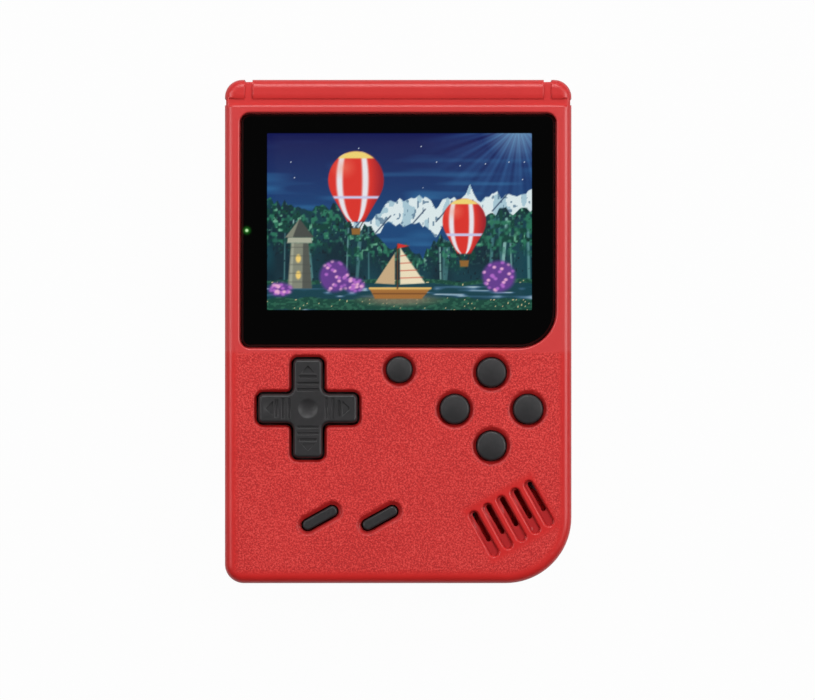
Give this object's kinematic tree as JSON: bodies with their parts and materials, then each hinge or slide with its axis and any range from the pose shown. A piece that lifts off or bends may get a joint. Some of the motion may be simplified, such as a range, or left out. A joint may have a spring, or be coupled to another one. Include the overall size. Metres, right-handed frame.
{
  "type": "handheld game console",
  "caption": "Upright handheld game console with a wide screen, cross-shaped pad, round and pill-shaped buttons, raked speaker slots and one large rounded lower corner.",
  "frame": {"origin": "under the middle of the case, on its flat back face", "axes": "+Z out of the screen, +Y towards the edge with the sockets, +X to the right of the screen"},
  "size_m": [0.08, 0.1162, 0.0223],
  "materials": {
    "red_shell": "fine spark-eroded grain",
    "charcoal_plastic": "fine satin",
    "lens_black": "polished",
    "display_glass": "polished",
    "white_plastic": "smooth",
    "clear_plastic": "clear",
    "board_green": "solder mask",
    "chip_black": "moulded",
    "grey_rubber": "matt",
    "foam_grey": "foam",
    "tape_black": "adhesive tape",
    "ribbon_amber": "film",
    "steel": "plated",
    "spring_brass": "plated",
    "magnet_steel": "plated",
    "paper_cone": "pressed paper",
    "wire_red": "insulation",
    "battery_wrap": "film wrap",
    "aluminium_can": "drawn"
  },
  "bodies": {
    "console": {"front_shell": "red_shell", "rear_shell": "red_shell", "battery": "battery_wrap", "battery_terminal_block": "chip_black", "battery_springs": "spring_brass", "display_lens": "lens_black", "lens_tape": "tape_black", "lcd_gasket": "foam_grey", "lcd_frame": "white_plastic", "lcd_glass": "display_glass", "lcd_backlight": "clear_plastic", "lcd_flex": "ribbon_amber", "lcd_foam_pads": "foam_grey", "main_board": "board_green", "dpad_membrane": "grey_rubber", "face_membrane": "grey_rubber", "reset_membrane": "grey_rubber", "menu_membrane": "grey_rubber", "speaker_gasket": "foam_grey", "speaker_cone": "paper_cone", "speaker_frame": "steel", "speaker_magnet": "magnet_steel", "speaker_wires": "wire_red", "power_switch_case": "steel", "volume_pot": "chip_black", "usb_socket": "steel", "av_jack": "chip_black", "power_led": "clear_plastic", "light_pipe": "clear_plastic", "processor_blob": "chip_black", "memory_chip": "chip_black", "capacitors": "aluminium_can", "crystal": "aluminium_can", "case_screws": "steel", "board_screws": "steel"},
    "x_button": {"x_button": "charcoal_plastic"},
    "y_button": {"y_button": "charcoal_plastic"},
    "a_button": {"a_button": "charcoal_plastic"},
    "b_button": {"b_button": "charcoal_plastic"},
    "reset_button": {"reset_button": "charcoal_plastic"},
    "select_button": {"select_button": "charcoal_plastic"},
    "start_button": {"start_button": "charcoal_plastic"},
    "dpad_rocker": {"dpad_pivot": "charcoal_plastic"},
    "dpad": {"dpad": "charcoal_plastic"},
    "power_switch": {"power_switch_knob": "charcoal_plastic"},
    "volume_wheel": {"volume_wheel": "charcoal_plastic", "volume_wheel_screw": "steel"},
    "battery_cover": {"battery_cover": "red_shell"}
  },
  "joints": [
    {"name": "x_press", "type": "slide", "parent": "console", "child": "x_button", "axis": [0, 0, -1], "range_m": [0, 0.001], "stiffness_N_per_m": 300, "springref_m": -0.0005, "deforming": ["face_membrane"]},
    {"name": "y_press", "type": "slide", "parent": "console", "child": "y_button", "axis": [0, 0, -1], "range_m": [0, 0.001], "stiffness_N_per_m": 300, "springref_m": -0.0005, "deforming": ["face_membrane"]},
    {"name": "a_press", "type": "slide", "parent": "console", "child": "a_button", "axis": [0, 0, -1], "range_m": [0, 0.001], "stiffness_N_per_m": 300, "springref_m": -0.0005, "deforming": ["face_membrane"]},
    {"name": "b_press", "type": "slide", "parent": "console", "child": "b_button", "axis": [0, 0, -1], "range_m": [0, 0.001], "stiffness_N_per_m": 300, "springref_m": -0.0005, "deforming": ["face_membrane"]},
    {"name": "reset_press", "type": "slide", "parent": "console", "child": "reset_button", "axis": [0, 0, -1], "range_m": [0, 0.001], "stiffness_N_per_m": 300, "springref_m": -0.0005, "deforming": ["reset_membrane"]},
    {"name": "select_press", "type": "slide", "parent": "console", "child": "select_button", "axis": [0, 0, -1], "range_m": [0, 0.001], "stiffness_N_per_m": 300, "springref_m": -0.0005, "deforming": ["menu_membrane"]},
    {"name": "start_press", "type": "slide", "parent": "console", "child": "start_button", "axis": [0, 0, -1], "range_m": [0, 0.001], "stiffness_N_per_m": 300, "springref_m": -0.0005, "deforming": ["menu_membrane"]},
    {"name": "dpad_up_down", "type": "hinge", "parent": "console", "child": "dpad_rocker", "pos_m": [-0.0208, -0.01775, 0.015], "axis": [1, 0, 0], "range_deg": [-3, 3], "stiffness_Nm_per_rad": 0.09, "deforming": ["dpad_membrane"]},
    {"name": "dpad_left_right", "type": "hinge", "parent": "dpad_rocker", "child": "dpad", "pos_m": [-0.0208, -0.01775, 0.015], "axis": [0, 1, 0], "range_deg": [-3, 3], "stiffness_Nm_per_rad": 0.09, "deforming": ["dpad_membrane"]},
    {"name": "power_slide", "type": "slide", "parent": "console", "child": "power_switch", "axis": [1, 0, 0], "range_m": [0, 0.0025]},
    {"name": "volume_turn", "type": "hinge", "parent": "console", "child": "volume_wheel", "pos_m": [0.0324, 0.014, 0.0096], "axis": [0, 0, 1], "range_deg": [-135, 135]},
    {"name": "battery_cover_open", "type": "hinge", "parent": "console", "child": "battery_cover", "pos_m": [0, -0.047, 0.0003], "axis": [-1, 0, 0], "range_deg": [0, 60]}
  ]
}
